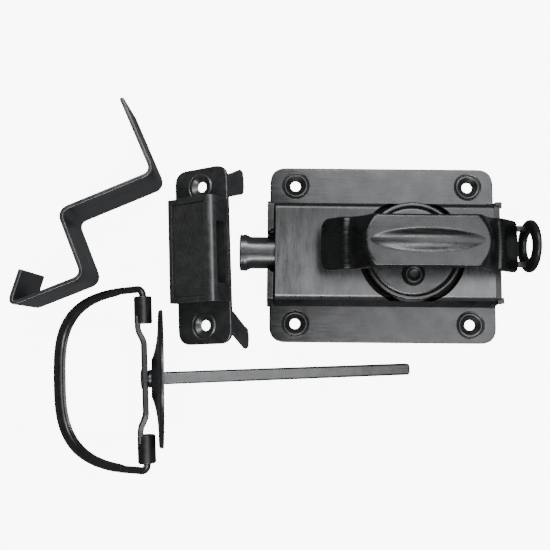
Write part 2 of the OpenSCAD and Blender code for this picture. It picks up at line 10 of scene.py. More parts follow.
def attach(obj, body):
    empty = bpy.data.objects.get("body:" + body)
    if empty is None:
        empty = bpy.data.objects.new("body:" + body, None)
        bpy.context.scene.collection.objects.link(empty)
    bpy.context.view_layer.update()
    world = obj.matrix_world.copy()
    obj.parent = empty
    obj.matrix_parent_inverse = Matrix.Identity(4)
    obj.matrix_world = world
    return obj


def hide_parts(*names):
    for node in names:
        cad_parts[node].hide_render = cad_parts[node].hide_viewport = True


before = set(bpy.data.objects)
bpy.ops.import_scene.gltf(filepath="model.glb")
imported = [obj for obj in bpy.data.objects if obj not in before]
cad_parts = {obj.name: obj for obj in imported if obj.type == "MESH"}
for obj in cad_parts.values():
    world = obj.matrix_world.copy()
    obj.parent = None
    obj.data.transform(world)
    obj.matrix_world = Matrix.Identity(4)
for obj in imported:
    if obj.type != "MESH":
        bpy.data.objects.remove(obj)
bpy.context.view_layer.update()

MM = 0.001

# ---------------------------------------------------------------- sizes, in millimetres
PLATE_L, PLATE_W, PLATE_R, PLATE_T = 110.0, 86.0, 8.0, 2.0
SCREW_X, SCREW_Y, SCREW_R = 42.5, 34.0, 2.5
FEET_X, FEET_Y, RIVET_R = 40.0, 19.5, 1.5
HUB_X = 12.0
CASE_T = 1.6
CASE_X0, CASE_X1, CASE_FOOT, CASE_TOP, CASE_H = -52.5, 51.2, 25.5, 22.6, 15.0
CAP_R, CAP_TOP, CAP_BORE = 23.0, 16.6, 6.05
RECESS_R, RECESS_Z = CAP_R + 2.5, 12.0
ARCH_AT = (HUB_X + 1.2, 1.2)
ARCH_H, FOOT_H, ARCH_L, ARCH_W, ARCH_T = 43.0, 26.0, 90.0, 24.0, 2.2
SPINDLE_W, SPINDLE_L = 5.4, 117.0
NECK_R = SPINDLE_W / 2 * math.sqrt(2) + 0.08
ROSE_R, ROSE_MID = 30.0, -3.6
PIVOT_X, BAR_X, BAR_T, BAR_W, TENON_R = -7.0, -8.2, 2.4, 9.0, 2.95
BARREL_R, BARREL_Y0, BARREL_Y1 = 3.9, 24.0, 36.0
RING_L, RING_W, WIRE_D, GRIP_W, GRIP_T, GRIP_X0 = 56.5, 82.0, 3.2, 6.0, 4.4, 14.0
STOCK_W, STOCK_T = 30.0, 2.0
KEEP_L, KEEP_R, KEEP_LEAN, KEEP_HOLE_Y, EAR_FOLD = 85.0, 7.0, math.radians(28), 33.5, (26.7, 37.8)
BOX_X, BOX_Y, BOX_W, BOX_L, BOX_H = -10.0, 1.2, 25.0, 48.6, 15.4
RING_SIDE = RING_W / 2 - WIRE_D / 2

SET_AT = Vector((-102.0, -59.2, ROSE_R * 0.983))
# the spindle's far end comes down to the table, and the ring's far edge to just above it
SET_LEAN = math.asin(SET_AT.z / math.hypot(SPINDLE_L, SPINDLE_W / 2)) - math.atan(SPINDLE_W / 2 / SPINDLE_L)
PIVOT_H = SET_AT.z - math.sin(SET_LEAN) * PIVOT_X
RING_DROP = math.asin((PIVOT_H - 0.05) / math.hypot(RING_L, GRIP_T / 2)) - math.atan(GRIP_T / 2 / RING_L)


def turn(angle, axis):
    """Rotation about a world axis, as a 4 by 4 matrix."""
    return Matrix.Rotation(angle, 4, axis)


ON_SET = Matrix.Translation(SET_AT) @ turn(math.radians(2), "Z") @ turn(SET_LEAN, "Y")
ON_ROSE = (
    ON_SET @ Matrix.Translation((ROSE_MID, 0, 0)) @ turn(math.radians(-3), "Y")
    @ Matrix.Translation((-ROSE_MID, 0, 0))
)
ON_PIVOT = ON_SET @ Matrix.Translation((PIVOT_X, 0, 0)) @ turn(math.radians(1.2), "Z")
ON_BRACKET = ON_PIVOT @ Matrix.Translation((-PIVOT_X, 0, 0))
ON_RING = ON_PIVOT @ turn(math.pi - RING_DROP - SET_LEAN, "Y")
ON_KEEPER = (
    Matrix.Translation((-86.4, -1.9, STOCK_W / 2 * math.sin(KEEP_LEAN)))
    @ turn(math.radians(2.6), "Z")
    @ turn(-KEEP_LEAN, "Y")
)
# turns a lathe's local Z axis to run along X
ALONG_X = Matrix(((0, 0, 1, 0), (1, 0, 0, 0), (0, 1, 0, 0), (0, 0, 0, 1)))


# ---------------------------------------------------------------- materials
def ramp(nodes, stops):
    """Colour ramp through (position, colour) stops."""
    r = nodes.new("ShaderNodeValToRGB")
    r.color_ramp.elements[0].position = stops[0][0]
    r.color_ramp.elements[0].color = (*stops[0][1], 1)
    r.color_ramp.elements[1].position = stops[-1][0]
    r.color_ramp.elements[1].color = (*stops[-1][1], 1)
    for p, c in stops[1:-1]:
        e = r.color_ramp.elements.new(p)
        e.color = (*c, 1)
    return r


def grey(v):
    """Slightly blue grey of the given level."""
    return (v, v * 1.015, v * 1.04)


def fade(n, link, colour, axis, start, end, first, last):
    """Scales a colour from first to last between two places in mm along an axis; gives both outputs."""
    place = n.new("ShaderNodeTexCoord")
    parts = n.new("ShaderNodeSeparateXYZ")
    link.new(place.outputs["Object"], parts.inputs["Vector"])
    level = n.new("ShaderNodeMapRange")
    level.inputs["From Min"].default_value = start * MM
    level.inputs["From Max"].default_value = end * MM
    level.inputs["To Min"].default_value = first
    level.inputs["To Max"].default_value = last
    link.new(parts.outputs[axis], level.inputs["Value"])
    scaled = n.new("ShaderNodeVectorMath")
    scaled.operation = "SCALE"
    link.new(colour, scaled.inputs[0])
    link.new(level.outputs["Result"], scaled.inputs["Scale"])
    return scaled.outputs["Vector"], level.outputs["Result"]


def steel(name, tone, rough, metal, streak=None, grain=0.016, edge_wear_and_sheen=0.5, tint=grey, painted_shade_below=None, painted_light_fades=()):
    """Satin dark steel: cloudy tone, fine grain, draw marks along streak, and edges painted bright, partly as
    wear and partly as a painted highlight.
    Its last two arguments are fades of painted shade: one up Z, (start, end, first, last), that paints
    everything below a height dark and dull, and any number along an axis, (axis, start, end, first, last)."""
    m = bpy.data.materials.new(name)
    m.use_nodes = True
    n, link = m.node_tree.nodes, m.node_tree.links
    shader = n["Principled BSDF"]
    shader.inputs["Metallic"].default_value = metal
    shader.inputs["Specular IOR Level"].default_value = 0.5
    place = n.new("ShaderNodeTexCoord")
    cloud = n.new("ShaderNodeTexNoise")
    cloud.inputs["Scale"].default_value = 120
    cloud.inputs["Detail"].default_value = 5
    cloud.inputs["Roughness"].default_value = 0.6
    link.new(place.outputs["Object"], cloud.inputs["Vector"])
    colours = ramp(n, [(0.32, tint(tone * 0.72)), (0.5, tint(tone)), (0.7, tint(tone * 1.35))])
    # draw marks: noise squeezed across the grain
    squeeze = n.new("ShaderNodeMapping")
    squeeze.inputs["Scale"].default_value = streak or (260, 260, 260)
    link.new(place.outputs["Object"], squeeze.inputs["Vector"])
    marks = n.new("ShaderNodeTexNoise")
    marks.inputs["Scale"].default_value = 1
    marks.inputs["Detail"].default_value = 6
    marks.inputs["Roughness"].default_value = 0.65
    link.new(squeeze.outputs["Vector"], marks.inputs["Vector"])
    blend = n.new("ShaderNodeMix")
    blend.inputs["Factor"].default_value = 0.5
    link.new(cloud.outputs["Fac"], blend.inputs["A"])
    link.new(marks.outputs["Fac"], blend.inputs["B"])
    link.new(blend.outputs["Result"], colours.inputs["Fac"])
    # edges painted bright, partly as wear from handling and partly as a painted highlight
    round_off = n.new("ShaderNodeBevel")
    round_off.samples = 4
    round_off.inputs["Radius"].default_value = 0.0006
    here = n.new("ShaderNodeNewGeometry")
    dot = n.new("ShaderNodeVectorMath")
    dot.operation = "DOT_PRODUCT"
    link.new(round_off.outputs["Normal"], dot.inputs[0])
    link.new(here.outputs["Normal"], dot.inputs[1])
    edge = n.new("ShaderNodeMapRange")
    edge.inputs["From Min"].default_value = 0.995
    edge.inputs["From Max"].default_value = 0.86
    edge.inputs["To Min"].default_value = 0.0
    edge.inputs["To Max"].default_value = edge_wear_and_sheen
    link.new(dot.outputs["Value"], edge.inputs["Value"])
    patch = n.new("ShaderNodeMath")
    patch.operation = "MULTIPLY"
    link.new(edge.outputs["Result"], patch.inputs[0])
    link.new(marks.outputs["Fac"], patch.inputs[1])
    worn_and_sheen = n.new("ShaderNodeMix")
    worn_and_sheen.data_type = "RGBA"
    link.new(patch.outputs["Value"], worn_and_sheen.inputs["Factor"])
    link.new(colours.outputs["Color"], worn_and_sheen.inputs["A"])
    worn_and_sheen.inputs["B"].default_value = (0.55, 0.56, 0.58, 1)
    finish = worn_and_sheen.outputs["Result"]
    # painted light and shade: the colour is made darker or lighter towards one side along an axis
    for change in painted_light_fades:
        finish, level = fade(n, link, finish, *change)
    if painted_shade_below:
        # painted shade: everything below a height, the walls and the recess, is painted dark and its metal
        # and shine are dulled, where shade falls
        finish, level = fade(n, link, finish, "Z", *painted_shade_below)
        for socket, most in (("Metallic", metal), ("Specular IOR Level", 0.5)):
            dull = n.new("ShaderNodeMath")
            dull.operation = "MULTIPLY"
            dull.inputs[1].default_value = most
            link.new(level, dull.inputs[0])
            link.new(dull.outputs["Value"], shader.inputs[socket])
    link.new(finish, shader.inputs["Base Color"])
    rub = n.new("ShaderNodeMapRange")
    rub.inputs["From Min"].default_value = 0.3
    rub.inputs["From Max"].default_value = 0.7
    rub.inputs["To Min"].default_value = rough - 0.08
    rub.inputs["To Max"].default_value = rough + 0.1
    link.new(marks.outputs["Fac"], rub.inputs["Value"])
    link.new(rub.outputs["Result"], shader.inputs["Roughness"])
    fine = n.new("ShaderNodeTexNoise")
    fine.inputs["Scale"].default_value = 1900
    fine.inputs["Detail"].default_value = 3
    link.new(place.outputs["Object"], fine.inputs["Vector"])
    both = n.new("ShaderNodeMath")
    both.operation = "MULTIPLY_ADD"
    both.inputs[1].default_value = 0.7
    link.new(marks.outputs["Fac"], both.inputs[0])
    link.new(fine.outputs["Fac"], both.inputs[2])
    bump = n.new("ShaderNodeBump")
    bump.inputs["Strength"].default_value = 0.6
    bump.inputs["Distance"].default_value = grain * MM
    link.new(both.outputs["Value"], bump.inputs["Height"])
    link.new(bump.outputs["Normal"], shader.inputs["Normal"])
    return m


DRAWN_X = (90, 900, 900)
DRAWN_Y = (900, 90, 900)
LOOKS = {
    # painted shade: the plate's colour darkens towards its left end, from X -30 to -55 mm
    "plate": steel("plate_enamel", 0.12, 0.34, 0.9, DRAWN_X, painted_light_fades=[("X", -55, -30, 0.45, 1.0)]),
    # painted shade: the housing is painted dark and dull below 14.2 mm, over its side walls and the floor of
    # its recess
    "case": steel(
        "case_enamel", 0.15, 0.32, 0.9, DRAWN_Y,
        # painted light and shade: the housing is painted lighter towards -Y and darker towards +Y
        painted_shade_below=(12.6, 14.2, 0.08, 1.0), painted_light_fades=[("Y", -16, 18, 1.4, 0.6)],
    ),
    "bar": steel("bar_enamel", 0.15, 0.3, 0.9, DRAWN_X),
    "dark": steel("dark_enamel", 0.07, 0.38, 0.85),
    "cap": steel("cap_enamel", 0.11, 0.3, 0.9),
    "bolt": steel("bolt_enamel", 0.14, 0.3, 0.9, DRAWN_X),
    # painted shade: the arch's colour darkens towards +Y
    "arch": steel("arch_enamel", 0.09, 0.28, 0.92, DRAWN_X, painted_light_fades=[("Y", -8, 12, 1.0, 0.65)]),
    # the strap and ring finishes paint their edges brighter, partly as wear and partly as a painted highlight
    "strap": steel("strap_enamel", 0.15, 0.34, 0.8, edge_wear_and_sheen=0.9),
    "ring": steel("ring_enamel", 0.1, 0.32, 0.85, edge_wear_and_sheen=0.8),
    "bare": steel("bare_steel", 0.36, 0.34, 0.95, grain=0.006, edge_wear_and_sheen=0.2),
    "rivet": steel("rivet_steel", 0.07, 0.4, 0.7),
    "spring": steel("spring_wire", 0.42, 0.28, 1.0, grain=0.004, edge_wear_and_sheen=0.1),
    "bush": steel("bearing_metal", 0.42, 0.34, 0.95, tint=lambda v: (v * 1.15, v * 0.92, v * 0.5)),
    "fibre": steel("black_fibre", 0.02, 0.8, 0.0, grain=0.03, edge_wear_and_sheen=0.05),
    "texture": steel("textured_paint", 0.045, 0.55, 0.3, grain=0.05, edge_wear_and_sheen=0.3),
}


# ---------------------------------------------------------------- shape helpers
def bend(a, b, c, count=8):
    """Points of a smooth bend from a to c round the corner b."""
    a, b, c = Vector(a), Vector(b), Vector(c)
    out = []
    for i in range(count + 1):
        t = i / count
        out.append(a * (1 - t) ** 2 + b * 2 * t * (1 - t) + c * t * t)
    return out


def rounded_path(points, r, count=8):
    """A run of straight legs with its inner corners rounded over the distance r."""
    p = [Vector(q) for q in points]
    out = [p[0]]
    for before, here, after in zip(p, p[1:], p[2:]):
        start = here + (before - here).normalized() * r
        end = here + (after - here).normalized() * r
        out += bend(start, here, end, count)
    return out + [p[-1]]


def rounded_polygon(points, r, count=6):
    """A closed outline with its corners rounded over the distance r."""
    p = [Vector(q) for q in points]
    out = []
    for i, here in enumerate(p):
        start = here + (p[i - 1] - here).normalized() * r
        end = here + (p[(i + 1) % len(p)] - here).normalized() * r
        out += bend(start, here, end, count)
    return out


def rounded_rectangle(x0, x1, y0, y1, r, count=6):
    """An anticlockwise rectangle with rounded corners."""
    return rounded_polygon([(x1, y0), (x1, y1), (x0, y1), (x0, y0)], r, count)


def circle(r, count=64, at=(0, 0)):
    """Points round a circle, anticlockwise."""
    return [
        Vector((at[0] + r * math.cos(math.tau * i / count), at[1] + r * math.sin(math.tau * i / count)))
        for i in range(count)
    ]


def inset(loop, d):
    """The closed outline moved inwards by d, for an outline that runs anticlockwise."""
    out = []
    for i, here in enumerate(loop):
        a, b = loop[i - 1], loop[(i + 1) % len(loop)]
        u, v = (here - a).normalized(), (b - here).normalized()
        normal = Vector((-u.y, u.x)) + Vector((-v.y, v.x))
        length = max(normal.length_squared / 2, 0.4)
        out.append(here + normal * (d / length))
    return out


def ring_verts(bm, points, where=Matrix.Identity(4)):
    """New vertices at the points, moved by where."""
    return [bm.verts.new(where @ Vector(p)) for p in points]


def bridge(bm, a, b, close=True):
    """Joins two rings of vertices with a band of faces."""
    count = len(a)
    for i in range(count if close else count - 1):
        j = (i + 1) % count
        face = [a[i], a[j], b[j], b[i]]
        if len(set(face)) > 2:
            bm.faces.new([v for k, v in enumerate(face) if v not in face[:k]])


def fill(bm, rings):
    """Closes the flat region between an outer ring and the rings of its holes."""
    edges = []
    for ring in rings:
        for i, v in enumerate(ring):
            w = ring[(i + 1) % len(ring)]
            edges.append(bm.edges.get((v, w)) or bm.edges.new((v, w)))
    bmesh.ops.triangle_fill(bm, use_beauty=True, use_dissolve=False, edges=edges)


def slab(bm, walls, where=Matrix.Identity(4)):
    """A plate. Each wall is (outline, [(inset, z), ...]) from its top rim to its bottom rim.
    The first wall is the outside; the others are holes, with outlines that run clockwise."""
    tops, bottoms = [], []
    for outline, rim in walls:
        rings = []
        for d, z in rim:
            rings.append(ring_verts(bm, [(p.x, p.y, z) for p in inset(outline, d)], where))
        for upper, lower in zip(rings, rings[1:]):
            bridge(bm, upper, lower)
        tops.append(rings[0])
        bottoms.append(rings[-1])
    fill(bm, tops)
    fill(bm, bottoms)


def hole(r, at, rim, count=48):
    """A round hole as a wall of a slab: its rim is given as (radius, z)."""
    outline = list(reversed(circle(r, count, at)))
    return (outline, [(q - r, z) for q, z in rim])


def edge_rim(t, top=0.5, bottom=0.25, steps=4):
    """Rounded rim of a plate t thick, from the top face to the bottom face."""
    rim = []
    for i in range(steps + 1):
        a = math.pi / 2 * i / steps
        rim.append((top * (1 - math.sin(a)), t - top * (1 - math.cos(a))))
    for i in range(steps // 2 + 1):
        a = math.pi / 2 * i / (steps // 2)
        rim.append((bottom * (1 - math.cos(a)), bottom * (1 - math.sin(a))))
    return rim


def screw_rim(t):
    """Dimpled screw hole: groove, raised ring, countersink and hole."""
    groove = [(7.0, t), (6.7, t - 0.08), (6.45, t - 0.32), (6.25, t - 0.36), (6.0, t - 0.2)]
    raised = [(5.7, t + 0.06), (5.35, t + 0.13), (5.0, t + 0.08), (4.65, t - 0.14)]
    return groove + raised + [(3.0, t - 1.22), (2.6, t - 1.5), (SCREW_R, t - 1.62), (SCREW_R, 0)]


def screw_hole(x, y, t):
    """Dimpled screw hole as a wall of a slab t thick."""
    return hole(SCREW_R, (x, y), screw_rim(t), 56)


def rivet_hole(x, y, t):
    """Rivet hole as a wall of a slab t thick, eased at the back."""
    return hole(RIVET_R, (x, y), [(RIVET_R, t), (RIVET_R, 0.15), (RIVET_R + 0.15, 0)], 24)


def lathe(bm, profile, where=Matrix.Identity(4), count=96, closed=False):
    """Turns a profile of (radius, height) about the local Z axis."""
    rings = []
    for r, z in profile:
        if r < 1e-6:
            rings.append([bm.verts.new(where @ Vector((0, 0, z)))] * count)
        else:
            rings.append(ring_verts(bm, [(*p, z) for p in circle(r, count)], where))
    pairs = list(zip(rings, rings[1:]))
    if closed:
        pairs.append((rings[-1], rings[0]))
    for a, b in pairs:
        bridge(bm, a, b)


def loft(bm, sections, where=Matrix.Identity(4)):
    """Skins a row of sections that all have the same number of points, and closes both ends."""
    rings = [ring_verts(bm, s, where) for s in sections]
    for a, b in zip(rings, rings[1:]):
        bridge(bm, a, b)
    bm.faces.new(rings[0])
    bm.faces.new(rings[-1])


def rounded_box_section(w, t, r, steps=4):
    """Outline of a bar w wide and t thick, centred, with corners rounded to r."""
    r = min(r, w / 2 - 0.01, t / 2 - 0.01)
    out = []
    for k, (sx, sy) in enumerate(((1, 1), (-1, 1), (-1, -1), (1, -1))):
        for i in range(steps + 1):
            a = math.pi / 2 * (k + i / steps)
            out.append((sx * (w / 2 - r) + r * math.cos(a), sy * (t / 2 - r) + r * math.sin(a)))
    return out


def strip(bm, stations, t, r, where=Matrix.Identity(4)):
    """Sheet strip through stations (point, across, normal, half-width), with rounded edges and ends."""
    rows = [(p, u, n, w, t) for p, u, n, w in stations[1:-1]]
    for end, beside, steps in ((0, 1, (0, 0.5, 0.85)), (-1, -2, (0.85, 0.5, 0))):
        p, u, n, w = stations[end]
        along = (p - stations[beside][0]).normalized()
        cap = []
        for a in steps:
            shrink = r * (1 - math.sin(math.acos(1 - a)))
            cap.append((p + along * (-r * a), u, n, w - shrink, t - 2 * shrink))
        rows = cap + rows if end == 0 else rows + cap
    sections = []
    for p, u, n, w, thick in rows:
        outline = rounded_box_section(2 * w, thick, r)
        sections.append([p + u * x + n * y for x, y in outline])
    loft(bm, sections, where)


def sweep(bm, path, section, up, where=Matrix.Identity(4)):
    """Sweeps a 2D section along an open path; the section's y runs along up."""
    sections = []
    up = Vector(up)
    for i, p in enumerate(path):
        before = path[max(i - 1, 0)]
        after = path[min(i + 1, len(path) - 1)]
        along = (after - before).normalized()
        side = along.cross(up).normalized()
        lift = side.cross(along).normalized()
        sections.append([p + side * x + lift * y for x, y in section])
    loft(bm, sections, where)


# ---------------------------------------------------------------- turning meshes into pieces
def finish_mesh(obj, angle, bevel=None):
    """Smooth shading, with edges past the angle kept sharp or, given (width, segments, angle), bevelled."""
    obj.data.shade_smooth()
    if bevel:
        b = obj.modifiers.new("soft_edges", "BEVEL")
        b.width = bevel[0] * MM
        b.segments = bevel[1]
        b.limit_method = "ANGLE"
        b.angle_limit = math.radians(bevel[2])
        b.use_clamp_overlap = True
        b.miter_outer = "MITER_ARC"
    else:
        obj.data.set_sharp_from_angle(angle=math.radians(angle))
    w = obj.modifiers.new("flat_faces", "WEIGHTED_NORMAL")
    w.keep_sharp = True
    w.weight = 60


def piece(name, bm, look, body, nodes, angle=40):
    """Makes the object from a mesh built in millimetres and ties it to the frame."""
    bmesh.ops.remove_doubles(bm, verts=bm.verts, dist=1e-5)
    bmesh.ops.recalc_face_normals(bm, faces=bm.faces)
    bm.transform(Matrix.Scale(MM, 4))
    mesh = bpy.data.meshes.new(name)
    bm.to_mesh(mesh)
    bm.free()
    obj = bpy.data.objects.new(name, mesh)
    bpy.context.scene.collection.objects.link(obj)
    mesh.materials.append(LOOKS[look])
    finish_mesh(obj, angle)
    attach(obj, body)
    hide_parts(*nodes)


def carve(bm, tool):
    """Cuts the closed mesh tool out of bm and returns the result; both are in millimetres."""
    objs = []
    for part in (bm, tool):
        bmesh.ops.remove_doubles(part, verts=part.verts, dist=1e-5)
        bmesh.ops.recalc_face_normals(part, faces=part.faces)
        mesh = bpy.data.meshes.new("carve")
        part.to_mesh(mesh)
        part.free()
        obj = bpy.data.objects.new("carve", mesh)
        bpy.context.scene.collection.objects.link(obj)
        objs.append(obj)
    cut = objs[0].modifiers.new("cut", "BOOLEAN")
    cut.operation = "DIFFERENCE"
    cut.solver = "EXACT"
    cut.object = objs[1]
    out = bmesh.new()
    out.from_object(objs[0], bpy.context.evaluated_depsgraph_get())
    for obj in objs:
        mesh = obj.data
        bpy.data.objects.remove(obj)
        bpy.data.meshes.remove(mesh)
    return out


def carried(node, look, bevel):
    """Keeps a CAD node and gives it a finish, closed seams and soft edges."""
    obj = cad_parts[node]
    obj.data.materials.clear()
    obj.data.materials.append(LOOKS[look])
    join = obj.modifiers.new("join", "WELD")
    join.merge_threshold = 1e-6
    finish_mesh(obj, 40, bevel)


# ---------------------------------------------------------------- latch body
def make_back_plate():
    """Pressed plate with four screw holes, four rivet holes and the hub's hole."""
    half_l, half_w, hub_hole = PLATE_L / 2, PLATE_W / 2, 7.5
    outline = rounded_rectangle(-half_l, half_l, -half_w, half_w, PLATE_R, 14)
    walls = [(outline, edge_rim(PLATE_T, 0.7, 0.3))]
    for sx in (-1, 1):
        for sy in (-1, 1):
            walls.append(screw_hole(sx * SCREW_X, sy * SCREW_Y, PLATE_T))
            walls.append(rivet_hole(sx * FEET_X, sy * FEET_Y, PLATE_T))
    walls.append(hole(hub_hole, (HUB_X, 0), [(hub_hole, PLATE_T), (hub_hole, 0.3), (hub_hole + 0.3, 0)], 64))
    bm = bmesh.new()
    slab(bm, walls)
    piece("plate_pressing", bm, "plate", "case", ["back_plate"])


def channel(foot, top, z0, z1, r, count=8):
    """Half-open outline of the housing's sheet, from one foot to the other."""
    slope = (foot - top) / (z1 - z0)
    return (
        [Vector((-foot, z0))]
        + bend((-top - r * slope, z1 - r), (-top, z1), (-top + r, z1), count)
        + bend((top - r, z1), (top, z1), (top + r * slope, z1 - r), count)
        + [Vector((foot, z0))]
    )


def make_housing():
    """Bent sheet with a round recess pressed into its top and four feet on the plate."""
    outer = channel(CASE_FOOT, CASE_TOP, PLATE_T, CASE_H, 2.6)
    inner = channel(CASE_FOOT - CASE_T, CASE_TOP - CASE_T, PLATE_T, CASE_H - CASE_T, 1.4)
    outline = outer + list(reversed(inner))
    bm = bmesh.new()
    rings = []
    for x, shrink in ((CASE_X0, 0.25), (CASE_X0 + 0.3, 0), (CASE_X1 - 0.3, 0), (CASE_X1, 0.25)):
        rings.append([bm.verts.new((x, p.x, p.y - shrink)) for p in outline])
    for a, b in zip(rings, rings[1:]):
        bridge(bm, a, b)
    fill(bm, [rings[0]])
    fill(bm, [rings[-1]])
    cutter = bmesh.new()
    clear = CASE_H + 4
    tool = [(0, RECESS_Z), (RECESS_R, RECESS_Z), (RECESS_R, CASE_H - 0.45), (RECESS_R + 0.12, CASE_H - 0.16)]
    tool += [(RECESS_R + 0.45, CASE_H), (RECESS_R + 0.45, clear), (0, clear)]
    lathe(cutter, tool, Matrix.Translation((HUB_X, 0, 0)), 128)
    bm = carve(bm, cutter)
    # the floor of the round recess, clipped to the housing's inside
    limit, opening, floor_t = 23.3, 14.5, 1.4
    floor = []
    for p in circle(RECESS_R - 0.02, 96):
        y = max(-limit, min(limit, p.y))
        floor.append(Vector((HUB_X + p.x, y)))
    below = RECESS_Z - floor_t
    lip = [(opening + 0.3, RECESS_Z), (opening, RECESS_Z - 0.3), (opening, below)]
    slab(bm, [(floor, [(0, RECESS_Z), (0, below)]), hole(opening, (HUB_X, 0), lip, 64)])
    foot_top = PLATE_T + 1.5
    for x in (-FEET_X, FEET_X):
        for s in (-1, 1):
            foot = [(x - 4, 15), (x + 4, 15), (x + 4, 24), (x - 4, 24)]
            if s < 0:
                foot = [(fx, -fy) for fx, fy in reversed(foot)]
            walls = [(rounded_polygon(foot, 0.8, 3), [(0, foot_top), (0, PLATE_T)])]
            walls.append(hole(RIVET_R, (x, s * FEET_Y), [(RIVET_R, foot_top), (RIVET_R, PLATE_T)], 24))
            slab(bm, walls)
    piece("housing_pressing", bm, "case", "case", ["housing"], angle=32)


# ---------------------------------------------------------------- bolt
def bolt_section(grow, count=40):
    """Half-round section of the bolt, flat underneath."""
    half, z0, spring, crown = 7.6 + grow, 3.3, 5.6, 11.7
    out = [(-half + 0.5, z0), (-half + 0.1, z0 + 0.15), (-half, z0 + 0.6)]
    for i in range(count + 1):
        a = math.pi * i / count
        y, z = -math.cos(a), math.sin(a)
        y = math.copysign(abs(y) ** 0.92, y)
        out.append((half * y, spring + (crown - spring) * z ** 0.86))
    return out + [(half, z0 + 0.6), (half - 0.1, z0 + 0.15), (half - 0.5, z0)]


def make_bolt():
    """Bolt with a rolled lip round its nose and a flat cut along its tail for the carriage."""
    nose, solid_end, tail, flat_z = -69.4, -44.0, -28.0, 5.32
    lip = [
        (0.0, 0.5), (0.15, 0.85), (0.5, 1.15), (0.9, 1.2), (1.15, 1.2), (1.3, 0.95), (1.55, 0.9), (1.7, 1.15),
        (2.2, 1.2), (3.3, 1.15), (3.6, 1.0), (3.8, 0.7), (4.1, 0.62), (4.5, 0.4), (5.2, 0.12), (6.0, 0.0),
    ]
    sections = []
    for dx, grow in lip:
        # the first two sections draw in, so that the nose's rim is soft
        sink = {0.0: 0.5, 0.15: 0.15}.get(dx, 0)
        narrow, drop = 1 - sink / 12, sink * 0.6
        sections.append([
            (nose + dx, y * narrow, z - (drop if z > 6 else 0)) for y, z in bolt_section(grow)
        ])
    for x in (nose + 8, -55.0, solid_end):
        sections.append([(x, y, z) for y, z in bolt_section(0)])
    notched = [(y, max(z, flat_z)) for y, z in bolt_section(0)]
    for x in (solid_end + 0.02, -36.0, tail - 0.4, tail):
        shrink = 0.3 if x == tail else 0
        sections.append([(x, y * (1 - shrink / 8), z - (shrink if z > 6 else 0)) for y, z in notched])
    bm = bmesh.new()
    loft(bm, sections)
    piece("bolt_forging", bm, "bolt", "bolt_set", ["bolt"], angle=38)


def make_spring():
    """Compression spring round its rod, behind the hub."""
    x0, x1, turns, r, wire_r, z = 28.0, 49.0, 7, 2.4, 0.5, 7
    path = []
    steps = 28 * turns
    for i in range(steps + 1):
        a = math.tau * turns * i / steps
        path.append(Vector((x0 + (x1 - x0) * i / steps, r * math.cos(a), z + r * math.sin(a))))
    bm = bmesh.new()
    sweep(bm, path, circle(wire_r, 10), (1, 0, 0))
    piece("return_spring", bm, "spring", "case", ["bolt_spring"], angle=60)


# ---------------------------------------------------------------- turning set
def make_hub_cap():
    """Round cap with a flared skirt and a rolled rim."""
    base, rim_r, rim_x, rim_z = RECESS_Z + 0.4, 1.15, CAP_R - 1.05, 16.25
    profile = [(CAP_BORE, 15.1), (CAP_R - 2.6, 15.1), (CAP_R - 1.9, 14.5), (CAP_R - 1.3, 13.6)]
    profile += [(CAP_R - 1.0, base), (CAP_R + 0.45, base), (CAP_R + 0.6, base + 0.2)]
    profile += [(CAP_R + 0.45, 13.6), (CAP_R + 0.2, 15.4)]
    for i in range(17):
        a = math.pi * i / 16
        c, s = math.cos(a), math.sin(a)
        profile.append((rim_x + rim_r * math.copysign(abs(c) ** 0.85, c), rim_z + rim_r * abs(s) ** 0.6))
    profile += [(CAP_R - 2.3, 16.15), (CAP_R - 2.6, 16.3), (CAP_R - 3.1, 16.55), (CAP_R - 3.8, CAP_TOP)]
    profile += [(14.0, CAP_TOP), (CAP_BORE + 0.25, CAP_TOP), (CAP_BORE, CAP_TOP - 0.2)]
    bm = bmesh.new()
    lathe(bm, profile, Matrix.Translation((HUB_X, 0, 0)), 128, closed=True)
    piece("cap_spinning", bm, "cap", "handle", ["hub_cap"], angle=38)


def make_hub_rivets():
    """Two rivets with dished heads on the cap."""
    head = [(0, 0), (5.35, 0), (5.4, 0.25), (5.2, 0.7), (4.9, 1.0), (4.6, 1.15), (4.1, 1.75), (3.6, 1.92)]
    head += [(3.0, 1.86), (2.6, 1.6), (2.3, 1.35), (1.7, 1.18), (0.8, 1.1), (0, 1.08)]
    tail = [(0, -5), (2.45, -5), (2.6, -4.85), (2.6, -4.2), (2.45, -4.05), (1.55, -4.0)]
    tail += [(1.55, 0.1), (0, 0.1)]
    bm = bmesh.new()
    for s in (-1, 1):
        at = Matrix.Translation((HUB_X, s * 11, CAP_TOP + 0.02))
        lathe(bm, head, at, 56)
        lathe(bm, tail, at, 40)
    piece("hub_rivet_heads", bm, "dark", "handle", ["hub_rivets"], angle=50)


def make_post():
    """Post between the cap and the arch, spread at both ends and bored for the spindle."""
    z0, z1 = CAP_TOP + 0.02, ARCH_H - ARCH_T - 0.02
    bore, depth = NECK_R + 0.2, 11
    profile = [(bore, z0), (5.7, z0), (5.9, z0 + 0.3), (5.5, z0 + 0.9), (5.2, z0 + 1.6), (5.2, z1 - 5.0)]
    profile += [(5.35, z1 - 3.8), (5.9, z1 - 2.7), (6.9, z1 - 2.1), (7.9, z1 - 1.9), (8.2, z1 - 1.6)]
    profile += [(8.2, z1 - 0.3), (7.9, z1), (0, z1), (0, z0 + depth), (bore, z0 + depth)]
    bm = bmesh.new()
    lathe(bm, profile, Matrix.Translation((HUB_X, 0, 0)), 64, closed=True)
    piece("handle_pillar", bm, "dark", "handle", ["handle_post"], angle=50)


def step_at(d, start, length):
    """Smooth step from 0 to 1 that begins at the distance start and takes the given length."""
    t = max(0.0, min(1.0, (abs(d) - start) / length))
    return t * t * (3 - 2 * t)


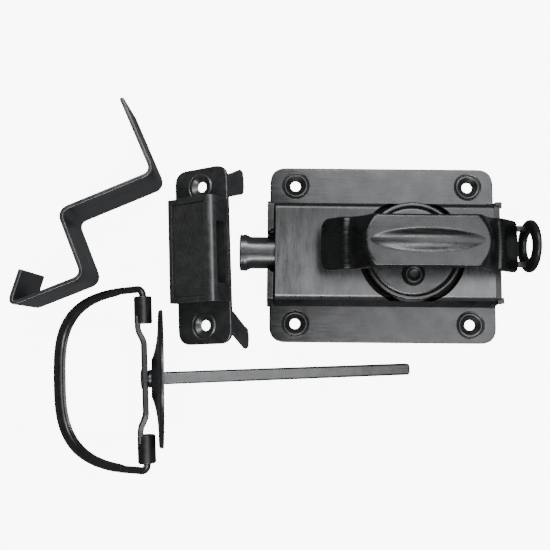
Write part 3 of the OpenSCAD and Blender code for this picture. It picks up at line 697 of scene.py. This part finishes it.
def arch_z(d, y=6.6):
    """Height of the strap; its crown reaches further along the middle than along the edges."""
    drop, knee = 10, 26.8 - 6 * (y / 12) ** 2
    return ARCH_H - drop * step_at(d, knee, 33.5 - knee) - (ARCH_H - FOOT_H - drop) * step_at(d, 34, 12)


def arch_half(d):
    """Half-width of the strap, slightly waisted in the middle."""
    return ARCH_W / 2 - 0.5 * (1 - min(1.0, abs(d) / 36) ** 2)


def make_arch():
    """Bent sheet strap with a lens-shaped rib pressed up along its middle."""
    end, pitch = ARCH_L / 2, 0.8
    lens_l, lens_w, rise, edge_r, sag = 25.0, 5.4, 1.6, 0.95, 0.7
    xs = [-end + e for e in (0.0, 0.2, 0.5, 0.9, 1.4, 2.0, 2.8, 3.8)]
    x = -end + 5
    while x < end - 5:
        xs.append(x)
        x += pitch
    xs += [end - e for e in (4.4, 3.4, 2.6, 2.0, 1.5, 1.1, 0.7, 0.4, 0.15, 0.0)]
    side, lens = 10, 14
    sections = []
    for d in xs:
        slope = (arch_z(d + 0.4) - arch_z(d - 0.4)) / 0.8
        normal = Vector((-slope, 0, 1)).normalized()
        middle = Vector((ARCH_AT[0] + d, ARCH_AT[1], arch_z(d)))
        w = arch_half(d)
        from_end = end - abs(d)
        corner = 2.8 if d < 0 else 1.6
        if from_end < corner:
            w -= (5.0 if d < 0 else 3.0) * (1 - math.sqrt(max(0.0, 1 - (1 - from_end / corner) ** 2)))
        thin = min(1.0, math.sqrt(from_end / 0.9)) if from_end < 0.9 else 1.0
        half_t = ARCH_T / 2 * max(thin, 0.12)
        r = min(edge_r, half_t * 0.95)
        reach = 1 - (d / lens_l) ** 2
        lens_half = lens_w * math.sqrt(reach) if reach > 0.004 else 0.3
        lift = rise * reach if reach > 0.004 else 0.0
        flat = w - r
        top = []
        for i in range(side):
            top.append((-flat + (flat - lens_half) * i / side, 0.0))
        for i in range(lens + 1):
            q = -1 + 2 * i / lens
            top.append((lens_half * q, lift * (1 - q * q) ** 1.5))
        for i in range(1, side + 1):
            top.append((lens_half + (flat - lens_half) * i / side, 0.0))
        row = [(y, half_t + z) for y, z in top]
        for i in range(1, 8):
            a = math.pi / 2 - math.pi * i / 8
            row.append((flat + r * math.cos(a), half_t * math.sin(a)))
        row += [(y, -half_t) for y, z in reversed(top)]
        for i in range(1, 8):
            a = -math.pi / 2 - math.pi * i / 8
            row.append((-flat + r * math.cos(a), half_t * math.sin(a)))
        # a shallow crown across the strap softens the reflection
        sections.append([
            middle + Vector((0, y, arch_z(d, y) - arch_z(d)))
            + normal * (z - ARCH_T / 2 - sag * (2 * y / ARCH_W) ** 2)
            for y, z in row
        ])
    bm = bmesh.new()
    rings = [ring_verts(bm, s) for s in sections]
    for a, b in zip(rings, rings[1:]):
        bridge(bm, a, b)
    fill(bm, [rings[0]])
    fill(bm, [rings[-1]])
    piece("arch_strap", bm, "arch", "handle", ["arch_handle"], angle=50)


def make_cord_eye():
    """Round eye on two short lugs at the end of the arch."""
    x, y, z = ARCH_AT[0] + ARCH_L / 2 + 4.6, ARCH_AT[1], FOOT_H + 0.4
    profile = []
    for i in range(28):
        a = math.tau * i / 28
        c, s = math.cos(a), math.sin(a)
        profile.append((8.9 + 3.1 * math.copysign(abs(c) ** 0.8, c), 1.7 * math.copysign(abs(s) ** 0.8, s)))
    bm = bmesh.new()
    lathe(bm, profile, Matrix.Translation((x, y, z)) @ ALONG_X, 96, closed=True)
    for s in (-1, 1):
        stations = []
        for q in (-5.6, -4.0, -2.0, 0.0):
            at = Vector((x + q, y + s * 8.2, z - 1.3))
            stations.append((at, Vector((0, 1, 0)), Vector((0, 0, 1)), 1.4))
        strip(bm, stations, 1.8, 0.7)
    piece("cord_loop", bm, "dark", "handle", ["cord_eye"], angle=45)


# ---------------------------------------------------------------- keeper
def make_keeper_strap():
    """Strap with a window under the box, two screw holes and a folded ear at each end to lean on."""
    half_w, half_l, window_l = STOCK_W / 2, KEEP_L / 2, 32
    outline = rounded_rectangle(-half_w, half_w, -half_l, half_l, KEEP_R, 12)
    window = rounded_rectangle(-7.5, 7.5, BOX_Y - window_l / 2, BOX_Y + window_l / 2, 0.8, 4)
    walls = [(outline, edge_rim(STOCK_T, 0.7, 0.3))]
    walls.append((list(reversed(window)), [(0, STOCK_T), (0, 0.2), (-0.2, 0)]))
    for s in (-1, 1):
        walls.append(screw_hole(0, s * KEEP_HOLE_Y, STOCK_T))
    for x in (-5, 8):
        for y in (-20, 20):
            walls.append(rivet_hole(x, BOX_Y + y, STOCK_T))
    bm = bmesh.new()
    slab(bm, walls, ON_KEEPER)
    # an ear reaches down to the table, and its end is rounded over the distance tip
    ear, tip, fold = 28 * math.tan(KEEP_LEAN), 3, EAR_FOLD
    for s, middle, half in ((1, 36.4, 3.4), (-1, 40.0, 2.4)):
        inner, outer = middle - half - tip, middle + half + tip
        stations = []
        for k in range(15):
            q = -1.0 + (ear + 1.0) * k / 14
            f = min(1.0, max(0.0, q) / (ear - tip))
            low = fold[0] + (inner - fold[0]) * f
            high = fold[1] + (outer - fold[1]) * f
            over = max(0.0, q - (ear - tip))
            nip = tip - math.sqrt(max(0.0, tip * tip - over * over))
            bow = 0.0 if q > 1 else -0.35 * (1 - q)
            at = Vector((half_w - STOCK_T / 2 + bow, s * (low + high) / 2, -q))
            stations.append((at, Vector((0, 1, 0)), Vector((1, 0, 0)), (high - low) / 2 - nip))
        strip(bm, stations, STOCK_T, 0.8, ON_KEEPER)
    piece("keeper_pressing", bm, "strap", "keeper", ["keeper_strap"], angle=38)


def make_keeper_liner():
    """Grip-textured panel set in the top of the keeper's box."""
    x0, x1 = BOX_X + 2.5, BOX_X + BOX_W - 4.7
    y0, y1 = BOX_Y - BOX_L / 2 + 2.5, BOX_Y + BOX_L / 2 - 2.5
    z0, z1 = BOX_H - 1.2, BOX_H - 0.7
    nx, ny = 100, 220
    bm = bmesh.new()
    rows = []
    for j in range(ny + 1):
        row = []
        for i in range(nx + 1):
            x, y = x0 + (x1 - x0) * i / nx, y0 + (y1 - y0) * j / ny
            rim = min(i, nx - i, j, ny - j)
            grain = noise.fractal(Vector((x * 1.5, y * 1.5, 0)), 0.9, 2.1, 3)
            inside = min(1.0, rim / 4)
            z = z1 - 0.28 * (1 - inside) + 0.17 * grain * inside
            row.append(bm.verts.new((x, y, min(z, z1 + 0.25))))
        rows.append(row)
    for a, b in zip(rows, rows[1:]):
        bridge(bm, a, b, close=False)
    right, left = [r[-1] for r in rows[1:-1]], [r[0] for r in reversed(rows[1:-1])]
    rim_loop = rows[0] + right + list(reversed(rows[-1])) + left
    low = [bm.verts.new((v.co.x, v.co.y, z0)) for v in rim_loop]
    bridge(bm, rim_loop, low)
    bm.faces.new(low)
    bm.transform(ON_KEEPER)
    piece("grip_panel", bm, "texture", "keeper", ["keeper_liner"], angle=60)


# ---------------------------------------------------------------- striker
def make_striker():
    """Bent strap that stands on its edge, with two screw holes in its first leg."""
    run = [(-123.6, 67.9), (-108, 33.1), (-150, 14.9), (-137.8, -14.4), (-170.4, -27.8), (-165.8, -11.6)]
    half_w = STOCK_W / 2
    path = rounded_path(run, 5, 12)
    stations = []
    for i, p in enumerate(path):
        d = (path[min(i + 1, len(path) - 1)] - path[max(i - 1, 0)]).normalized()
        stations.append((Vector((p.x, p.y, half_w)), Vector((0, 0, 1)), Vector((-d.y, d.x, 0)), half_w))
    bm = bmesh.new()
    strip(bm, stations, STOCK_T, 0.55)
    knee = Vector(run[1])
    leg = (Vector(run[0]) - knee).normalized()
    # the leg's own axes: x runs along it and z out of its face
    on_leg = (
        Matrix.Translation((knee.x, knee.y, half_w))
        @ turn(math.atan2(leg.y, leg.x), "Z")
        @ turn(math.pi / 2, "X")
    )
    # the tool is the dimple's profile closed above and below the sheet
    dimple = [(r, z - STOCK_T / 2) for r, z in reversed(screw_rim(STOCK_T)) if r < 5.4]
    tool = [(0, -3), (SCREW_R, -3)] + dimple + [(5.35, 3), (0, 3)]
    cutter = bmesh.new()
    for x in (11, 29):
        lathe(cutter, tool, on_leg @ Matrix.Translation((x, 0, 0)), 48)
    bm = carve(bm, cutter)
    piece("striker_band", bm, "strap", "striker", ["striker_strap"], angle=38)


# ---------------------------------------------------------------- ring handle
def make_rose():
    """Dished round plate with a rounded rim and a bore for the spindle's neck."""
    bore = NECK_R + 0.14
    outer = [(7.6, -4.2)] + bend((8.2, -4.15), (13.5, -1.7), (24, -1.35), 12) + [(ROSE_R - 1.2, -1.2)]
    rim = [(ROSE_R - 1.2 + 1.2 * math.sin(a), -1.2 * math.cos(a)) for a in (0.4, 0.8, 1.2, 1.57)]
    rim += [(ROSE_R, 0.5), (ROSE_R - 0.1, 0.72), (ROSE_R - 0.3, 0.8), (ROSE_R - 0.9, 0.8)]
    rim.append((ROSE_R - 1.2, 0.5))
    hollow = bend((8.2, -2.9), (13.5, -0.5), (24, -0.15), 12)
    under = [(ROSE_R - 1.4, 0.0)] + list(reversed(hollow)) + [(7.6, -3.0)]
    profile = [(bore, -4.2)] + [(p[0], p[1]) for p in outer] + rim
    profile += [(p[0], p[1]) for p in under] + [(bore, -3.0)]
    bm = bmesh.new()
    lathe(bm, profile, ON_ROSE @ ALONG_X, 128, closed=True)
    piece("rose_pressing", bm, "ring", "rose_plate", ["rose"], angle=35)


def make_spindle():
    """Square bar with a turned neck and a tenon that holds the bracket."""
    bm = bmesh.new()
    w, end = SPINDLE_W, SPINDLE_L
    sections = []
    for x, size in ((-1.8, w), (end - 1.0, w), (end - 0.35, w - 0.5), (end, w - 1.3)):
        sections.append([(x, y, z) for y, z in rounded_box_section(size, size, 1.0, 6)])
    loft(bm, sections, ON_SET)
    x0, x1 = BAR_X + BAR_T + 0.2, BAR_X + 0.2
    neck = [(0, x0), (NECK_R - 0.3, x0), (NECK_R, x0 + 0.3), (NECK_R, x0 + 4.8), (0, x0 + 4.8)]
    tenon = [(0, x1), (TENON_R, x1), (TENON_R, x1 + 4), (0, x1 + 4)]
    lathe(bm, neck, ON_SET @ ALONG_X, 64)
    lathe(bm, tenon, ON_SET @ ALONG_X, 48)
    piece("spindle_bar", bm, "bar", "spindle_set", ["spindle"], angle=38)


def make_bracket():
    """Strap that joggles out to each side and rolls into a barrel round the ring's pivots."""
    bm = bmesh.new()
    joggle, joggle_l, small = 15, 7.4, 0.25
    mid_x, end_x = BAR_X + BAR_T / 2, PIVOT_X - BARREL_R + 0.2 + BAR_T / 2
    half_way = [0, 6, 13, 15, 16.5, 18.5, 20.5, 22.4, 24, 27.5]
    stations = []
    for y in [-y for y in reversed(half_way[1:])] + half_way:
        ease = step_at(y, joggle, joggle_l)
        ahead = step_at(abs(y) + small, joggle, joggle_l)
        x = mid_x + (end_x - mid_x) * ease
        half_w = BAR_W / 2 + (3.0 - BAR_W / 2) * ease
        rise = ((end_x - mid_x) * (ahead - ease)) / small * math.copysign(1, y)
        along = Vector((rise, 1, 0)).normalized()
        stations.append((Vector((x, y, 0)), Vector((0, 0, 1)), Vector((along.y, -along.x, 0)), half_w))
    strip(bm, stations, BAR_T, 0.5, ON_BRACKET)
    about_pivot = ON_PIVOT @ turn(-math.pi / 2, "X")
    pocket_r, tenon_hole = 2.25, TENON_R + 0.11
    cutter = bmesh.new()
    for s in (-1, 1):
        y0, y1 = s * (BARREL_Y0 + 0.5) - 1.5, s * (BARREL_Y0 + 0.5) + 1.5
        lathe(cutter, [(0, y0), (pocket_r, y0), (pocket_r, y1), (0, y1)], about_pivot, 40)
    x0, x1 = BAR_X - 2, BAR_X + 4
    lathe(cutter, [(0, x0), (tenon_hole, x0), (tenon_hole, x1), (0, x1)], ON_BRACKET @ ALONG_X, 48)
    bm = carve(bm, cutter)
    bore, r, y0, y1 = WIRE_D / 2 + 0.06, BARREL_R, BARREL_Y0, BARREL_Y1
    barrel = [(bore, y0 + 2), (pocket_r, y0 + 2), (pocket_r, y0), (r - 0.5, y0), (r - 0.12, y0 + 0.15)]
    barrel += [(r, y0 + 0.5), (r, y1 - 0.5), (r - 0.12, y1 - 0.15), (r - 0.5, y1), (bore, y1)]
    lathe(bm, [(q, -y) for q, y in reversed(barrel)], about_pivot, 56, closed=True)
    lathe(bm, barrel, about_pivot, 56, closed=True)
    piece("ring_carrier", bm, "dark", "spindle_set", ["ring_bracket"], angle=38)


def ring_curve(a, b, count=96):
    """D outline in the ring's plane, from one flank to the other."""
    start = math.acos((GRIP_X0 / a) ** 1.5)
    out = []
    for i in range(count + 1):
        t = start * (2 * i / count - 1)
        out.append(Vector((a * math.cos(t) ** (2 / 3), math.copysign(b * abs(math.sin(t)) ** (2 / 3), t), 0)))
    return out


def make_wires():
    """The ring's two wire ends, each from its barrel round a bend and into the grip."""
    bm = bmesh.new()
    section = circle(WIRE_D / 2, 20)
    bend_r = 3
    for s in (-1, 1):
        path = [Vector((0, s * (BARREL_Y0 + 1.8), 0)), Vector((0, s * 28, 0))]
        for i in range(11):
            a = math.pi / 2 * i / 10
            x, y = bend_r - bend_r * math.cos(a), RING_SIDE - bend_r + bend_r * math.sin(a)
            path.append(Vector((x, s * y, 0)))
        path += [Vector((10, s * RING_SIDE, 0)), Vector((GRIP_X0 + 2, s * RING_SIDE, 0))]
        sweep(bm, path, section, (0, 0, 1), ON_RING)
    piece("ring_wire_ends", bm, "ring", "ring", ["drop_ring"], angle=50)


def make_grip():
    """Sheet grip rolled round the ring: half-round outside, with its seam on the inside."""
    outer = ring_curve(RING_L, RING_W / 2 + 0.2)
    inner = ring_curve(RING_L - GRIP_W, RING_SIDE - WIRE_D / 2 - 0.2)
    profile = []
    count = 28
    for k in range(count):
        a = math.tau * k / count
        c, s = math.cos(a), math.sin(a)
        x, y = math.copysign(abs(c) ** 0.75, c), math.copysign(abs(s) ** 0.8, s)
        if k == count // 2:
            # the seam
            x += 0.16
        profile.append((x, y))
    sections = []
    last = len(outer) - 1
    for i, (p, q) in enumerate(zip(outer, inner)):
        middle, across = (p + q) / 2, (p - q) / 2
        squeeze = (0.8, 0.93, 1.0)[min(i, last - i, 2)]
        half_t = GRIP_T / 2 * squeeze
        sections.append([middle + across * (x * squeeze) + Vector((0, 0, y * half_t)) for x, y in profile])
    bm = bmesh.new()
    loft(bm, sections, ON_RING)
    piece("grip_sleeve", bm, "ring", "ring", ["ring_grip"], angle=50)


make_back_plate()
make_housing()
make_bolt()
make_spring()
make_hub_cap()
make_hub_rivets()
make_post()
make_arch()
make_cord_eye()
make_keeper_strap()
make_keeper_liner()
make_striker()
make_rose()
make_spindle()
make_bracket()
make_wires()
make_grip()

for node, look, bevel in (
    ("forend", "dark", (0.3, 3, 35)),
    ("rear_wall", "dark", (0.3, 3, 35)),
    ("case_rivets", "rivet", None),
    ("hub_bush", "bush", (0.15, 2, 50)),
    ("spring_rod", "bare", (0.2, 2, 50)),
    ("bolt_carriage", "bare", (0.2, 2, 50)),
    ("carriage_rivets", "rivet", (0.15, 2, 50)),
    ("hub", "bare", (0.15, 2, 50)),
    ("hub_cam", "bare", (0.2, 2, 50)),
    ("hub_clip", "rivet", (0.15, 2, 50)),
    ("keeper_box", "strap", (0.6, 4, 40)),
    ("keeper_rivets", "rivet", None),
    ("rose_washer", "fibre", (0.15, 2, 50)),
    ("spindle_head", "rivet", None),
    ("pivot_caps", "rivet", (0.2, 3, 50)),
):
    carried(node, look, bevel)


# ---------------------------------------------------------------- table, lights and camera
def pale_finish():
    """Pale, slightly cloudy surface that glows like a light table."""
    m = bpy.data.materials.new("pale_table")
    m.use_nodes = True
    n, link = m.node_tree.nodes, m.node_tree.links
    shader = n["Principled BSDF"]
    shader.inputs["Roughness"].default_value = 0.9
    shader.inputs["Specular IOR Level"].default_value = 0.1
    place = n.new("ShaderNodeTexCoord")
    cloud = n.new("ShaderNodeTexNoise")
    cloud.inputs["Scale"].default_value = 4
    link.new(place.outputs["Object"], cloud.inputs["Vector"])
    tone = ramp(n, [(0.3, (0.9, 0.9, 0.9)), (0.7, (0.93, 0.93, 0.93))])
    link.new(cloud.outputs["Fac"], tone.inputs["Fac"])
    link.new(tone.outputs["Color"], shader.inputs["Base Color"])
    link.new(tone.outputs["Color"], shader.inputs["Emission Color"])
    shader.inputs["Emission Strength"].default_value = 9.0
    return m


def make_table():
    """Round table just under the parts, which sweeps up into a wall.
    It neither lights the parts nor shows in their reflections."""
    top, flat_r, wall_r = -0.05, 1500, 2100
    sweep_up = bend((flat_r, top), (wall_r, top), (wall_r, 600), 16)
    bm = bmesh.new()
    lathe(bm, [(0, top), (flat_r, top)] + [(p.x, p.y) for p in sweep_up] + [(wall_r, 2200)])
    bm.transform(Matrix.Scale(MM, 4))
    mesh = bpy.data.meshes.new("table")
    bm.to_mesh(mesh)
    bm.free()
    obj = bpy.data.objects.new("table", mesh)
    bpy.context.scene.collection.objects.link(obj)
    mesh.materials.append(pale_finish())
    mesh.shade_smooth()
    obj.visible_glossy = False
    obj.visible_diffuse = False


def softbox(name, at, aim, size, watts):
    """Rectangular lamp at a place in metres, turned towards aim."""
    data = bpy.data.lights.new(name, "AREA")
    data.shape = "RECTANGLE"
    data.size, data.size_y = size
    data.energy = watts
    lamp = bpy.data.objects.new(name, data)
    bpy.context.scene.collection.objects.link(lamp)
    lamp.location = at
    lamp.rotation_mode = "QUATERNION"
    lamp.rotation_quaternion = (Vector(aim) - Vector(at)).to_track_quat("-Z", "Y")


def make_room(above, below):
    """Dim room, brighter up to a little above the horizon, as light comes back from a pale table."""
    world = bpy.data.worlds.new("room")
    world.use_nodes = True
    n, link = world.node_tree.nodes, world.node_tree.links
    place = n.new("ShaderNodeTexCoord")
    axes = n.new("ShaderNodeSeparateXYZ")
    link.new(place.outputs["Generated"], axes.inputs["Vector"])
    level = n.new("ShaderNodeMapRange")
    level.interpolation_type = "SMOOTHSTEP"
    level.inputs["From Min"].default_value = 0.1
    level.inputs["From Max"].default_value = 0.6
    level.inputs["To Min"].default_value = below
    level.inputs["To Max"].default_value = above
    link.new(axes.outputs["Z"], level.inputs["Value"])
    n["Background"].inputs["Color"].default_value = (0.9, 0.95, 1, 1)
    link.new(level.outputs["Result"], n["Background"].inputs["Strength"])
    bpy.context.scene.world = world


make_table()
softbox("overhead", (0.42, 0.1, 1.2), (0.0, 0.0, 0.0), (0.9, 0.7), 4.5)
softbox("rear", (0.0, 0.62, 1.0), (-0.03, 0.0, 0.0), (0.8, 0.12), 5)
softbox("front", (0.0, -0.58, 1.0), (-0.03, 0.0, 0.0), (0.8, 0.1), 5)
make_room(above=0.04, below=0.16)

view = bpy.data.cameras.new("view")
view.sensor_width = 36
view.lens = 43.85
view.clip_start = 0.01
camera = bpy.data.objects.new("view", view)
bpy.context.scene.collection.objects.link(camera)
camera.location = (-0.0532, -0.0438, 0.3267)
camera.rotation_euler = (math.radians(5.87), math.radians(-0.2), math.radians(0.49))
bpy.context.scene.camera = camera
